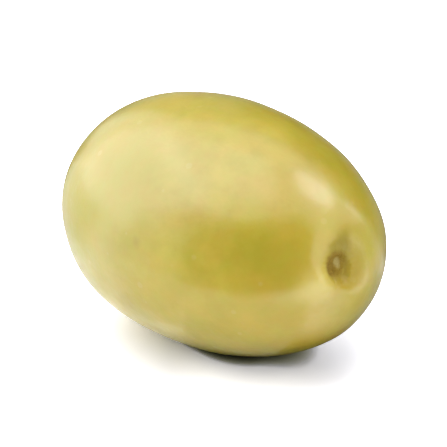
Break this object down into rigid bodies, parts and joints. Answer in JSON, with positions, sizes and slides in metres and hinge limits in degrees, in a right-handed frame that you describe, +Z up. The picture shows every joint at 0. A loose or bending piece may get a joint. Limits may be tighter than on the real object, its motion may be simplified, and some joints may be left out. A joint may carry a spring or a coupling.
{
  "type": "green olive",
  "caption": "Whole pickled green table olive lying on its side, an oval fruit with smooth satin skin and a small round scar where the stem was.",
  "frame": {"origin": "on the surface the fruit rests on, under the middle of its bounding box", "axes": "+X along the long axis towards the stem end, +Y across the fruit, +Z up from the surface it rests on"},
  "size_m": [0.0262, 0.0184, 0.0179],
  "materials": {
    "olive_skin": "satin"
  },
  "bodies": {
    "root": {"olive_fruit": "olive_skin"}
  },
  "joints": []
}
